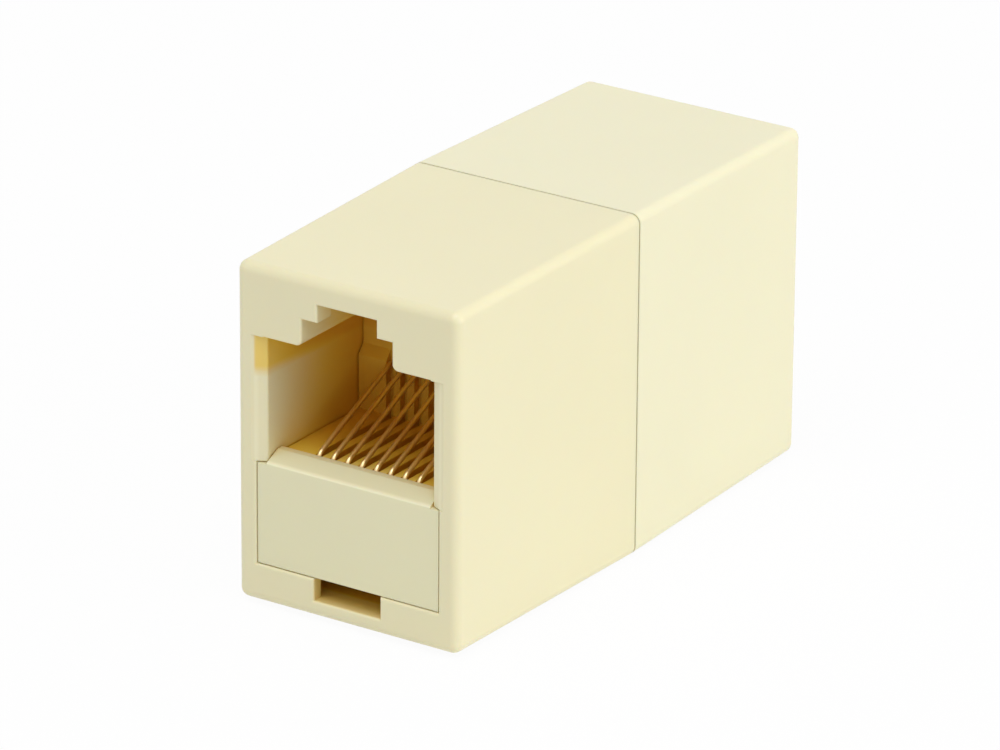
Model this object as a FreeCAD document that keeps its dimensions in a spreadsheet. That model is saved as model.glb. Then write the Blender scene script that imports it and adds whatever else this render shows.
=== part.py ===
import FreeCAD, Part
import math
import os
import Sketcher

# In-line coupler that joins two 8-contact modular plugs end to end.
#
# Frame: +Z is up and the plugs go in along Y. The front socket faces -Y and the rear socket +Y.
# The origin is the middle of the lowest line of the seam, where the two drafted halves are widest.
# Every sub-part of one end is modelled at the front and turned half a turn about Z for the rear.
#
# All lengths are millimetres and all angles degrees.

# name, value, what it is
SIZES = [
    ("plug_width", 11.74, "clear width of the plug tunnel"),
    ("chamber_step", 0.63, "how far the lower chamber stands outside the tunnel, each side"),
    ("side_wall", 1.60, "side wall beside the chamber, at the seam"),
    ("floor_wall", 1.32, "floor thickness, at the seam"),
    ("sill_height", 1.40, "from the floor up to the sill that the panel stands on"),
    ("window_height", 6.56, "from the sill up to the shelf under the tunnel"),
    ("mouth_height", 8.01, "from the shelf up to the tunnel ceiling"),
    ("key_height", 1.73, "from the ceiling up to the top of the wide latch step"),
    ("latch_height", 1.13, "from the wide latch step up to the top of the narrow one"),
    ("roof_wall", 1.85, "roof thickness over the narrow latch step, at the seam"),
    ("key_width", 6.40, "width of the wide latch step"),
    ("latch_width", 4.20, "width of the narrow latch step"),
    ("notch_width", 4.74, "width of the notch in the sill"),
    ("lead_width", 0.95, "how far the sloped lead-in reaches past the mouth, each side"),
    ("lead_depth", 0.42, "depth of the lead-in where it meets the tunnel's side"),
    ("end_wall", 1.50, "thickness of the end wall that the latch catches behind"),
    ("sill_wall", 0.80, "thickness of the sill"),
    ("ceiling_plate", 1.00, "thickness of the plate over the tunnel"),
    ("key_cheek", 0.70, "thickness of the walls beside the latch pocket"),
    ("draft_angle", 0.82, "mould draft of the outside faces"),
    ("outer_radius", 0.60, "rounding of the long outside edges and round the end face"),
    ("mouth_radius", 0.15, "rounding of the mouth's edges in the end face"),
    ("ceiling_radius", 0.40, "rounding where the ceiling meets the latch step"),
    ("seam_gap", 0.12, "open line between the two housing halves"),
    ("lap_length", 1.60, "how far the rear half's spigot enters the front half"),
    ("lap_wall", 0.72, "thickness of the spigot"),
    ("lap_clearance", 0.08, "clearance round the spigot"),
    ("bead_length", 6.00, "length of each snap bead on the spigot"),
    ("bead_radius", 0.25, "radius of each snap bead"),
    ("bead_inset", 0.80, "from the seam to the middle of each snap bead"),
    ("cavity_depth", 10.20, "from the end face to the socket's back wall"),
    ("back_wall", 1.50, "thickness of the socket's back wall"),
    ("rear_room", 6.40, "from the back wall to the circuit board"),
    ("board_thickness", 1.60, "thickness of the circuit board"),
    ("board_rise", 0.29, "how far the board stands above the shelf"),
    ("fit", 0.07, "clearance between an insert or the board and the housing"),
    ("panel_setback", 0.12, "how far the insert's panel lies behind the end face"),
    ("lip_run", 1.18, "depth of the sloping lip over the panel"),
    ("lip_rise", 0.55, "height of the sloping lip"),
    ("lip_land", 0.45, "flat top of the lip"),
    ("lip_radius", 0.14, "rounding of the lip's edges"),
    ("tray_rise", 0.27, "height of the contact tray over the shelf"),
    ("deck_thickness", 0.75, "top plate behind the back wall"),
    ("comb_length", 0.50, "length of the comb teeth along the contacts"),
    ("comb_cover", 0.70, "height of the comb teeth above the contact tips"),
    ("comb_slope", 0.60, "how much lower the front of a comb tooth is"),
    ("tip_room", 1.70, "room in front of the board for wire tails and solder"),
    ("cheek_width", 1.70, "width of each cheek that bears on the board"),
    ("slot_clearance", 0.08, "clearance on each side of a contact in its slot"),
    ("slot_front", 0.20, "clearance in front of a contact's leg"),
    ("pitch", 1.016, "spacing of the contacts"),
    ("wire", 0.35, "diameter of the contact wire"),
    ("rise_angle", 23.5, "slope of the contacts' spring arms"),
    ("leg_depth", 2.30, "from the end face to the contacts' upright legs"),
    ("root_rise", 0.33, "height of the bend at the foot of the arm over the shelf"),
    ("bend_radius", 0.70, "bend radius of the contact wire"),
    ("tip_gap", 0.30, "from a contact's tip to the back wall"),
    ("upper_row_drop", 2.38, "from the shelf down to the upper row of tails"),
    ("row_gap", 2.00, "from the upper row of tails down to the lower row"),
    ("tail", 0.70, "how far a tail stands out of the board"),
    ("hole_clearance", 0.07, "clearance round a tail in its board hole"),
    ("solder_radius", 0.42, "radius of a solder joint on the board"),
    ("solder_height", 0.45, "height of a solder joint"),
]

CONTACTS = 8
CONTACT_SIDES = 8   # sides of a contact's section
SOLDER_RIM = 0.03   # thickness of a solder joint's upper edge
OVERRUN = 1.0       # how far a cut runs past the face that it opens
NODE_FOLDER = "parts"


def size(name):
    return f"Sizes.{name}"


# Half widths across X.
PLUG_HALF = f"({size('plug_width')} / 2)"
CHAMBER_HALF = f"({PLUG_HALF} + {size('chamber_step')})"
OUTER_HALF = f"({CHAMBER_HALF} + {size('side_wall')})"
LEAD_HALF = f"({PLUG_HALF} + {size('lead_width')})"
KEY_HALF = f"({size('key_width')} / 2)"
LATCH_HALF = f"({size('latch_width')} / 2)"
CORE_HALF = f"({KEY_HALF} + {size('key_cheek')})"
NOTCH_HALF = f"({size('notch_width')} / 2)"
FIELD_HALF = f"({CONTACTS / 2} * {size('pitch')})"
CHEEK_HALF = f"({CHAMBER_HALF} - {size('fit')} - {size('cheek_width')})"

# Levels up Z.
FLOOR = f"({size('floor_wall')})"
SILL = f"({FLOOR} + {size('sill_height')})"
SHELF = f"({SILL} + {size('window_height')})"
CEILING = f"({SHELF} + {size('mouth_height')})"
KEY_TOP = f"({CEILING} + {size('key_height')})"
LATCH_TOP = f"({KEY_TOP} + {size('latch_height')})"
OUTER_TOP = f"({LATCH_TOP} + {size('roof_wall')})"
CORE_BOTTOM = f"({CEILING} + {size('ceiling_plate')})"
TRAY = f"({SHELF} + {size('tray_rise')})"
LIP_TOP = f"({SHELF} + {size('lip_rise')})"
ROOT = f"({SHELF} + {size('root_rise')})"
UPPER_ROW = f"({SHELF} - {size('upper_row_drop')})"
LOWER_ROW = f"({UPPER_ROW} - {size('row_gap')})"

# Distances from the seam's middle plane towards the end face.
BOARD_FACE = f"({size('board_thickness')} / 2)"
BLOCK_REAR = f"({BOARD_FACE} + {size('tip_room')})"
WALL_REAR = f"({BOARD_FACE} + {size('rear_room')})"
WALL_FRONT = f"({WALL_REAR} + {size('back_wall')})"
COMB_FRONT = f"({WALL_FRONT} + {size('comb_length')})"
END_FACE = f"({WALL_FRONT} + {size('cavity_depth')})"
SHOULDER = f"({size('seam_gap')} / 2)"
TIP = f"({WALL_FRONT} + {size('tip_gap')})"
LEG = f"({END_FACE} - {size('leg_depth')})"
SLOT_FRONT = f"({LEG} + {size('wire')} / 2 + {size('slot_front')})"
PANEL = f"({END_FACE} - {size('panel_setback')})"
LIP_LAND_FRONT = f"({PANEL} - {size('lip_run')})"
LIP_LAND_REAR = f"({LIP_LAND_FRONT} - {size('lip_land')})"
FOOT_FRONT = f"({END_FACE} - {size('sill_wall')} - {size('fit')})"

TIP_LEVEL = f"({ROOT} + ({LEG} - {TIP}) * tan({size('rise_angle')}))"
COMB_TOP = f"({TIP_LEVEL} + {size('comb_cover')})"


def make_sheet(doc):
    """Put the driving dimensions in a spreadsheet, one alias to a row."""
    sheet = doc.addObject("Spreadsheet::Sheet", "Sizes")
    for row, (alias, value, note) in enumerate(SIZES, start=1):
        sheet.set(f"A{row}", alias)
        sheet.set(f"B{row}", str(value))
        sheet.set(f"C{row}", note)
        sheet.setAlias(f"B{row}", alias)
    doc.recompute()
    return sheet


def number(owner, expression):
    """Work out an expression on the sheet's values."""
    return float(owner.Document.Sizes.evalExpression(expression))


def make_body(doc, label):
    body = doc.addObject("PartDesign::Body", label)
    body.Label = label
    return body


def origin_feature(body, role):
    for feature in body.Origin.OriginFeatures:
        if feature.Role == role:
            return feature
    raise ValueError(role)


def add_sketch(body, role, name, distance="0"):
    """Start a sketch on an origin plane, moved along the plane's normal."""
    sketch = body.newObject("Sketcher::SketchObject", name)
    sketch.AttachmentSupport = [(origin_feature(body, role), "")]
    sketch.MapMode = "FlatFace"
    sketch.setExpression("AttachmentOffset.Base.z", distance)
    return sketch


def bind(sketch, label, expression, kind, *where):
    """Add a dimension to a sketch and tie it to an expression."""
    index = sketch.addConstraint(Sketcher.Constraint(kind, *where, number(sketch, expression)))
    sketch.renameConstraint(index, label)
    sketch.setExpression(f"Constraints.{label}", expression)


def draw_outline(sketch, corners):
    """Draw a closed outline whose corners are pairs of expressions."""
    first = sketch.GeometryCount
    places = [FreeCAD.Vector(number(sketch, across), number(sketch, up), 0) for across, up in corners]
    count = len(corners)
    for index in range(count):
        sketch.addGeometry(Part.LineSegment(places[index], places[(index + 1) % count]))
    for index in range(count):
        following = first + (index + 1) % count
        sketch.addConstraint(Sketcher.Constraint("Coincident", first + index, 2, following, 1))
    for index, (across, up) in enumerate(corners):
        corner = first + index
        bind(sketch, f"across_{corner}", across, "DistanceX", -1, 1, corner, 1)
        bind(sketch, f"up_{corner}", up, "DistanceY", -1, 1, corner, 1)


def minus(expression):
    return f"-({expression})"


def both_sides(right_corners):
    """Mirror the right-hand corners of an outline, listed from the bottom up, to the left."""
    left_corners = [(minus(across), up) for across, up in reversed(right_corners)]
    return right_corners + left_corners


def rectangle(left, right, bottom, top):
    return [(left, bottom), (right, bottom), (right, top), (left, top)]


def centred_rectangle(half, bottom, top):
    return rectangle(minus(half), half, bottom, top)


def draw_circle(sketch, across, up, radius):
    index = sketch.addGeometry(
        Part.Circle(
            FreeCAD.Vector(number(sketch, across), number(sketch, up), 0),
            FreeCAD.Vector(0, 0, 1),
            number(sketch, radius),
        )
    )
    bind(sketch, f"across_{index}", across, "DistanceX", -1, 1, index, 3)
    bind(sketch, f"up_{index}", up, "DistanceY", -1, 1, index, 3)
    bind(sketch, f"radius_{index}", radius, "Radius", index)


def draw_eight_sides(sketch, across, up, flat):
    """Draw an eight-sided outline round a point, by the distance to its flats."""
    corner = f"({flat} * tan(22.5))"
    steps = [
        (flat, minus(corner)), (flat, corner), (corner, flat), (minus(corner), flat),
        (minus(flat), corner), (minus(flat), minus(corner)), (minus(corner), minus(flat)), (corner, minus(flat)),
    ]
    draw_outline(sketch, [(f"{across} + {right}", f"{up} + {rise}") for right, rise in steps])


def extrude(body, kind, sketch, name, length, reversed_side=False, midplane=False):
    """Pad or pocket a sketch by a length that is an expression."""
    feature = body.newObject(f"PartDesign::{kind}", name)
    feature.Profile = sketch
    feature.setExpression("Length", length)
    feature.Reversed = reversed_side
    if midplane:
        feature.SideType = "Symmetric"
    sketch.Visibility = False
    return feature


def cut_from_end(body, name, corners, start, length):
    """Cut an outline into the body along Y, inwards from a distance measured from the seam."""
    sketch = add_sketch(body, "XZ_Plane", f"{name}_sketch", start)
    draw_outline(sketch, corners)
    return extrude(body, "Pocket", sketch, name, length)


def cut_from_seam(body, name, corners, start, length):
    """Cut an outline into the body along Y, outwards from a distance measured from the seam."""
    sketch = add_sketch(body, "XZ_Plane", f"{name}_sketch", start)
    draw_outline(sketch, corners)
    return extrude(body, "Pocket", sketch, name, length, reversed_side=True)


def edge_names(shape, wanted, middle_only=False):
    """Name the edges of a shape whose middle passes a test, and whose ends do too unless told not."""
    names = []
    for index, edge in enumerate(shape.Edges, start=1):
        points = [edge.valueAt((edge.FirstParameter + edge.LastParameter) / 2)]
        if not middle_only:
            points += [vertex.Point for vertex in edge.Vertexes]
        if all(wanted(point) for point in points):
            names.append(f"Edge{index}")
    return names


def round_edges(body, name, radius, wanted, middle_only=False):
    """Round the edges of the body's tip that pass a test."""
    body.Document.recompute()
    base = body.Tip
    feature = body.newObject("PartDesign::Fillet", name)
    feature.Base = (base, edge_names(base.Shape, wanted, middle_only))
    feature.setExpression("Radius", radius)
    return feature


def near(value, target, tolerance=0.001):
    return abs(value - target) < tolerance


# ---------------------------------------------------------------- housings

def add_outer_block(body, label):
    """The drafted outside of one half, widest at the seam, with its long edges and end rounded."""
    lean = f"(({END_FACE} - {SHOULDER}) * tan({size('draft_angle')}))"
    sketch = add_sketch(body, "YZ_Plane", f"{label}_side_view")
    draw_outline(sketch, [
        (minus(SHOULDER), "0"),
        (minus(SHOULDER), OUTER_TOP),
        (minus(END_FACE), f"({OUTER_TOP} - {lean})"),
        (minus(END_FACE), lean),
    ])
    extrude(body, "Pad", sketch, f"{label}_block", f"2 * {OUTER_HALF}", midplane=True)

    wedges = add_sketch(body, "XY_Plane", f"{label}_top_view")
    beyond = f"({OUTER_HALF} + {OVERRUN})"
    wedge = [
        (OUTER_HALF, minus(SHOULDER)),
        (f"({OUTER_HALF} - {lean})", minus(END_FACE)),
        (beyond, minus(END_FACE)),
        (beyond, minus(SHOULDER)),
    ]
    draw_outline(wedges, wedge)
    draw_outline(wedges, [(minus(across), along) for across, along in wedge])
    extrude(body, "Pocket", wedges, f"{label}_side_draft", OUTER_TOP, reversed_side=True)

    end = -number(sketch, END_FACE)
    shoulder = -number(sketch, SHOULDER)

    def runs_lengthwise(point):
        return not near(point.y, end) and not near(point.y, shoulder)

    round_edges(body, f"{label}_long_edges", size("outer_radius"), runs_lengthwise, middle_only=True)
    round_edges(body, f"{label}_end_edges", size("outer_radius"), lambda point: near(point.y, end))


def cut_mouth(body, label):
    """The stepped opening in the end wall and the notch under it."""
    mouth = both_sides([
        (CHAMBER_HALF, SILL),
        (CHAMBER_HALF, SHELF),
        (PLUG_HALF, SHELF),
        (PLUG_HALF, CEILING),
        (KEY_HALF, CEILING),
        (KEY_HALF, KEY_TOP),
        (LATCH_HALF, KEY_TOP),
        (LATCH_HALF, LATCH_TOP),
    ])
    cut_from_end(
        body, f"{label}_mouth", mouth,
        f"{END_FACE} + {OVERRUN}", f"{size('end_wall')} + {OVERRUN}",
    )
    cut_from_end(
        body, f"{label}_notch",
        centred_rectangle(NOTCH_HALF, FLOOR, SILL),
        f"{END_FACE} + {OVERRUN}", f"{size('sill_wall')} + {OVERRUN}",
    )


def cut_tunnel(body, label):
    """The plug tunnel behind the end wall, with the latch pocket and the room for the insert."""
    tunnel = both_sides([
        (CHAMBER_HALF, SILL),
        (CHAMBER_HALF, SHELF),
        (PLUG_HALF, SHELF),
        (PLUG_HALF, CEILING),
        (KEY_HALF, CEILING),
        (KEY_HALF, LATCH_TOP),
    ])
    cut_from_end(
        body, f"{label}_tunnel", tunnel,
        f"{END_FACE} - {size('end_wall')}", f"{END_FACE} - {size('end_wall')} - {WALL_REAR}",
    )
    cut_from_end(
        body, f"{label}_foot_room",
        centred_rectangle(CHAMBER_HALF, FLOOR, SILL),
        f"{END_FACE} - {size('sill_wall')}", f"{END_FACE} - {size('sill_wall')} - {WALL_REAR}",
    )


def cut_roof_cores(body, label):
    """Two cored pockets that thin the roof beside the latch pocket."""
    sketch = add_sketch(body, "XZ_Plane", f"{label}_cores_sketch", f"{END_FACE} - {size('end_wall')}")
    draw_outline(sketch, rectangle(CORE_HALF, CHAMBER_HALF, CORE_BOTTOM, LATCH_TOP))
    draw_outline(sketch, rectangle(minus(CHAMBER_HALF), minus(CORE_HALF), CORE_BOTTOM, LATCH_TOP))
    extrude(body, "Pocket", sketch, f"{label}_cores", f"{END_FACE} - {size('end_wall')} - {WALL_REAR}")


def cut_chamber(body, label):
    """The open chamber between the socket and the seam."""
    cut_from_seam(
        body, f"{label}_chamber",
        centred_rectangle(CHAMBER_HALF, FLOOR, LATCH_TOP),
        f"{SHOULDER} - {OVERRUN}", f"{WALL_REAR} - {SHOULDER} + {OVERRUN}",
    )


def soften_mouth(body, label):
    """Round the corners where the ceiling meets the latch step, then the openings' front edges."""
    key_half = number(body, KEY_HALF)
    ceiling = number(body, CEILING)

    def at_ceiling_corner(point):
        return near(abs(point.x), key_half) and near(point.z, ceiling)

    round_edges(body, f"{label}_ceiling_corners", size("ceiling_radius"), at_ceiling_corner)

    end = -number(body, END_FACE)
    reach = number(body, CHAMBER_HALF) + 0.001
    round_edges(
        body, f"{label}_rim", size("mouth_radius"),
        lambda point: near(point.y, end) and abs(point.x) < reach,
    )


def cut_lead_in(body, label):
    """The sloped lead-in that guides a plug from either side, rounded where it meets the tunnel."""
    sketch = add_sketch(body, "XY_Plane", f"{label}_lead_in_sketch", SHELF)
    inner = minus(f"{END_FACE} - {size('lead_depth')}")
    draw_outline(sketch, both_sides([(LEAD_HALF, minus(END_FACE)), (PLUG_HALF, inner)]))
    extrude(body, "Pocket", sketch, f"{label}_lead_in", size("mouth_height"), reversed_side=True)

    lead_end = number(body, inner)
    plug_half = number(body, PLUG_HALF)
    round_edges(
        body, f"{label}_lead_in_edges", size("mouth_radius"),
        lambda point: near(point.y, lead_end) and near(abs(point.x), plug_half),
    )


def lap_outline(extra="0"):
    """The rectangle of the lap joint, the lap wall outside the chamber."""
    grow = f"({size('lap_wall')} + {extra})"
    return centred_rectangle(f"({CHAMBER_HALF} + {grow})", f"({FLOOR} - {grow})", f"({LATCH_TOP} + {grow})")


BEAD_LEVEL = f"(({FLOOR} + {LATCH_TOP}) / 2)"
BEAD_ACROSS = f"({CHAMBER_HALF} + {size('lap_wall')})"


def add_rebate(body, label):
    """The rebate inside the front half's open edge, with a groove for each snap bead."""
    cut_from_seam(
        body, f"{label}_rebate", lap_outline(size("lap_clearance")),
        f"{SHOULDER} - {OVERRUN}", f"{size('lap_length')} + {OVERRUN}",
    )
    sketch = add_sketch(body, "XY_Plane", f"{label}_groove_sketch", BEAD_LEVEL)
    radius = f"({size('bead_radius')} + {size('lap_clearance')})"
    along = minus(f"{SHOULDER} + {size('bead_inset')}")
    for across in (BEAD_ACROSS, minus(BEAD_ACROSS)):
        draw_circle(sketch, across, along, radius)
    length = f"{size('bead_length')} + 2 * {size('lap_clearance')}"
    extrude(body, "Pocket", sketch, f"{label}_grooves", length, midplane=True)


def add_spigot(body, label):
    """The spigot on the rear half's open edge, with a snap bead on each side."""
    sketch = add_sketch(body, "XZ_Plane", f"{label}_spigot_sketch", SHOULDER)
    draw_outline(sketch, lap_outline())
    draw_outline(sketch, centred_rectangle(CHAMBER_HALF, FLOOR, LATCH_TOP))
    length = f"{size('seam_gap')} + {size('lap_length')}"
    extrude(body, "Pad", sketch, f"{label}_spigot", length, reversed_side=True)

    beads = add_sketch(body, "XY_Plane", f"{label}_bead_sketch", BEAD_LEVEL)
    along = f"({SHOULDER} + {size('bead_inset')})"
    for across in (BEAD_ACROSS, minus(BEAD_ACROSS)):
        draw_circle(beads, across, along, size("bead_radius"))
    extrude(body, "Pad", beads, f"{label}_beads", size("bead_length"), midplane=True)


def make_housing(doc, label, add_joint):
    """One half of the housing: a drafted cup with the socket's mouth in its end."""
    body = make_body(doc, label)
    add_outer_block(body, label)
    cut_mouth(body, label)
    cut_tunnel(body, label)
    cut_roof_cores(body, label)
    cut_chamber(body, label)
    soften_mouth(body, label)
    cut_lead_in(body, label)
    add_joint(body, label)
    return body


# ---------------------------------------------------------------- inserts

def add_insert_block(body, label):
    """The insert's lower block with its front panel, its stepped feet and its cheeks."""
    low = f"({FLOOR} + {size('fit')})"
    step = f"({SILL} + {size('fit')})"
    high = f"({SHELF} - {size('fit')})"
    sketch = add_sketch(body, "YZ_Plane", f"{label}_block_sketch")
    draw_outline(sketch, [
        (minus(PANEL), step),
        (minus(PANEL), high),
        (minus(BOARD_FACE), high),
        (minus(BOARD_FACE), low),
        (minus(FOOT_FRONT), low),
        (minus(FOOT_FRONT), step),
    ])
    width = f"2 * ({CHAMBER_HALF} - {size('fit')})"
    extrude(body, "Pad", sketch, f"{label}_block", width, midplane=True)


def add_insert_deck(body, label):
    """The lip, the contact tray, the comb and the back wall, as wide as the tunnel."""
    base = f"({UPPER_ROW} + {size('wire')})"
    top = f"({CEILING} - {size('fit')})"
    sketch = add_sketch(body, "YZ_Plane", f"{label}_deck_sketch")
    draw_outline(sketch, [
        (minus(PANEL), base),
        (minus(PANEL), SHELF),
        (minus(LIP_LAND_FRONT), LIP_TOP),
        (minus(LIP_LAND_REAR), LIP_TOP),
        (minus(SLOT_FRONT), TRAY),
        (minus(COMB_FRONT), TRAY),
        (minus(COMB_FRONT), f"{COMB_TOP} - {size('comb_slope')}"),
        (minus(WALL_FRONT), COMB_TOP),
        (minus(WALL_FRONT), top),
        (minus(WALL_REAR), top),
        (minus(WALL_REAR), base),
    ])
    width = f"2 * ({PLUG_HALF} - {size('fit')})"
    extrude(body, "Pad", sketch, f"{label}_deck", width, midplane=True)


def add_latch_stop(body, label):
    """The tongue of the back wall that closes the latch pocket."""
    sketch = add_sketch(body, "XZ_Plane", f"{label}_latch_stop_sketch", WALL_REAR)
    across = f"({KEY_HALF} - {size('fit')})"
    draw_outline(sketch, centred_rectangle(across, f"({CEILING} - {size('key_height')})",
                                           f"({LATCH_TOP} - {size('fit')})"))
    extrude(body, "Pad", sketch, f"{label}_latch_stop", size("back_wall"))


def cut_insert_rear(body, label):
    """The room between the cheeks for wire tails, and the channel between the feet."""
    below = f"({FLOOR} - {OVERRUN})"
    cut_from_seam(
        body, f"{label}_tail_room",
        centred_rectangle(CHEEK_HALF, below, f"({SHELF} + {OVERRUN})"),
        f"{BOARD_FACE} - {OVERRUN}", f"{size('tip_room')} + {OVERRUN}",
    )
    cut_from_seam(
        body, f"{label}_channel",
        centred_rectangle(FIELD_HALF, below, f"({SILL} + {size('fit')})"),
        f"{BOARD_FACE} - {OVERRUN}", f"{FOOT_FRONT} - {BOARD_FACE} + 2 * {OVERRUN}",
    )


def cut_contact_slots(body, label):
    """One slot for each contact, open below, through the tray and between the comb teeth."""
    first = minus(f"{(CONTACTS - 1) / 2} * {size('pitch')}")
    sketch = add_sketch(body, "YZ_Plane", f"{label}_slot_sketch", first)
    above_tray = f"({LIP_TOP} + {OVERRUN})"
    above_comb = f"({COMB_TOP} + {OVERRUN})"
    before_comb = minus(f"{COMB_FRONT} + {OVERRUN}")
    deck_bottom = f"({SHELF} - {size('deck_thickness')})"
    below = f"({SILL} - {OVERRUN})"
    rear = minus(f"{BLOCK_REAR} - {OVERRUN}")
    draw_outline(sketch, [
        (minus(SLOT_FRONT), below),
        (minus(SLOT_FRONT), above_tray),
        (before_comb, above_tray),
        (before_comb, above_comb),
        (minus(WALL_FRONT), above_comb),
        (minus(WALL_FRONT), deck_bottom),
        (rear, deck_bottom),
        (rear, below),
    ])
    width = f"{size('wire')} + 2 * {size('slot_clearance')}"
    slot = extrude(body, "Pocket", sketch, f"{label}_slot", width, midplane=True)
    body.Document.recompute()

    pattern = body.newObject("PartDesign::LinearPattern", f"{label}_slots")
    pattern.Originals = [slot]
    pattern.Direction = (origin_feature(body, "X_Axis"), [""])
    pattern.setExpression("Length", f"{CONTACTS - 1} * {size('pitch')}")
    pattern.Occurrences = CONTACTS
    body.Tip = pattern


def soften_lip(body, label):
    """Round the lip's long edges, where the plug slides in."""
    panel = -number(body, PANEL)
    shelf = number(body, SHELF)
    lip_top = number(body, LIP_TOP)
    land = -number(body, LIP_LAND_FRONT)

    def on_lip(point):
        at_panel = near(point.y, panel) and near(point.z, shelf)
        at_land = near(point.y, land) and near(point.z, lip_top)
        return at_panel or at_land

    round_edges(body, f"{label}_lip_edges", size("lip_radius"), on_lip)


def make_insert(doc, label):
    """The contact carrier that slides into one half and closes the back of its socket."""
    body = make_body(doc, label)
    add_insert_block(body, label)
    add_insert_deck(body, label)
    add_latch_stop(body, label)
    cut_insert_rear(body, label)
    soften_lip(body, label)
    cut_contact_slots(body, label)
    return body


# ---------------------------------------------------------------- contacts

def draw_contact_path(sketch, row):
    """The bent line of a contact: spring arm, bend, upright leg, bend and tail to the board."""
    slope = math.radians(number(sketch, size("rise_angle")))
    radius = number(sketch, size("bend_radius"))
    leg = -number(sketch, LEG)
    root = number(sketch, ROOT)
    level = number(sketch, row)
    tail_end = number(sketch, f"{BOARD_FACE} + {size('tail')}")
    tip = FreeCAD.Vector(-number(sketch, TIP), number(sketch, TIP_LEVEL), 0)

    along = FreeCAD.Vector(math.cos(slope), math.sin(slope), 0)
    setback = radius * math.tan((math.pi / 2 - slope) / 2)
    arm_foot = FreeCAD.Vector(leg, root, 0) + along * setback
    upper_centre = FreeCAD.Vector(leg + radius, root - setback, 0)
    lower_centre = FreeCAD.Vector(leg + radius, level + radius, 0)
    normal = FreeCAD.Vector(0, 0, 1)

    arm = sketch.addGeometry(Part.LineSegment(arm_foot, tip))
    upper_bend = sketch.addGeometry(
        Part.ArcOfCircle(Part.Circle(upper_centre, normal, radius), math.pi / 2 + slope, math.pi)
    )
    upright = sketch.addGeometry(
        Part.LineSegment(FreeCAD.Vector(leg, root - setback, 0), FreeCAD.Vector(leg, level + radius, 0))
    )
    lower_bend = sketch.addGeometry(
        Part.ArcOfCircle(Part.Circle(lower_centre, normal, radius), math.pi, 1.5 * math.pi)
    )
    tail = sketch.addGeometry(
        Part.LineSegment(FreeCAD.Vector(leg + radius, level, 0), FreeCAD.Vector(tail_end, level, 0))
    )

    for joint in (
        (arm, 1, upper_bend, 1),
        (upper_bend, 2, upright, 1),
        (upright, 2, lower_bend, 1),
        (lower_bend, 2, tail, 1),
    ):
        sketch.addConstraint(Sketcher.Constraint("Tangent", *joint))
    sketch.addConstraint(Sketcher.Constraint("Vertical", upright))
    sketch.addConstraint(Sketcher.Constraint("Horizontal", tail))
    bind(sketch, "upper_radius", size("bend_radius"), "Radius", upper_bend)
    bind(sketch, "lower_radius", size("bend_radius"), "Radius", lower_bend)
    bind(sketch, "leg_place", minus(LEG), "DistanceX", -1, 1, upright, 1)
    bind(sketch, "row_level", row, "DistanceY", -1, 1, tail, 2)
    bind(sketch, "tail_end", f"{BOARD_FACE} + {size('tail')}", "DistanceX", -1, 1, tail, 2)
    bind(sketch, "tip_place", minus(TIP), "DistanceX", -1, 1, arm, 2)
    bind(sketch, "tip_level", TIP_LEVEL, "DistanceY", -1, 1, arm, 2)
    sketch.addConstraint(Sketcher.Constraint("Angle", arm, slope))
    angle = sketch.ConstraintCount - 1
    sketch.renameConstraint(angle, "rise")
    sketch.setExpression("Constraints.rise", f"{size('rise_angle')} * 1 deg")


def make_contact(doc, label, row):
    """One gold-plated spring contact of round wire."""
    body = make_body(doc, label)
    path = add_sketch(body, "YZ_Plane", f"{label}_path")
    draw_contact_path(path, row)
    section = add_sketch(body, "XZ_Plane", f"{label}_section", minus(f"{BOARD_FACE} + {size('tail')}"))
    draw_eight_sides(section, "0", row, f"({size('wire')} / 2)")
    pipe = body.newObject("PartDesign::AdditivePipe", f"{label}_wire")
    pipe.Profile = section
    pipe.Spine = (path, [])
    return body


def contact_across(position):
    """Where contact 1 to 8 of the front socket stands, from left to right."""
    return f"({position - (CONTACTS + 1) / 2} * {size('pitch')})"


def contact_row(position):
    """Odd contacts have their tails in the upper row and even ones in the lower row."""
    return UPPER_ROW if position % 2 else LOWER_ROW


# ---------------------------------------------------------------- board

def make_board(doc):
    """The circuit board across the middle. Each row of holes takes the tails of both sockets in turn."""
    label = "circuit_board"
    body = make_body(doc, label)
    sketch = add_sketch(body, "XZ_Plane", f"{label}_sketch")
    draw_outline(sketch, centred_rectangle(
        f"({CHAMBER_HALF} - {size('fit')})", f"({FLOOR} + {size('fit')})", f"({SHELF} + {size('board_rise')})"
    ))
    extrude(body, "Pad", sketch, f"{label}_blank", size("board_thickness"), midplane=True)

    holes = add_sketch(body, "XZ_Plane", f"{label}_hole_sketch")
    clear = f"({size('wire')} / 2 + {size('hole_clearance')})"
    for row in (UPPER_ROW, LOWER_ROW):
        draw_eight_sides(holes, contact_across(1), row, clear)
    hole = extrude(body, "Pocket", holes, f"{label}_hole", f"{size('board_thickness')} + {OVERRUN}", midplane=True)
    doc.recompute()

    pattern = body.newObject("PartDesign::LinearPattern", f"{label}_holes")
    pattern.Originals = [hole]
    pattern.Direction = (origin_feature(body, "X_Axis"), [""])
    pattern.setExpression("Length", f"{CONTACTS - 1} * {size('pitch')}")
    pattern.Occurrences = CONTACTS
    body.Tip = pattern
    return body


def eight_sides(flat_radius, across, along, level):
    """A closed eight-sided wire across Y, by the radius to its flats."""
    radius = flat_radius / math.cos(math.pi / CONTACT_SIDES)
    corners = []
    for index in range(CONTACT_SIDES + 1):
        angle = (2 * index + 1) * math.pi / CONTACT_SIDES
        corners.append(FreeCAD.Vector(across + radius * math.cos(angle), along, level + radius * math.sin(angle)))
    return Part.makePolygon(corners)


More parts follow.
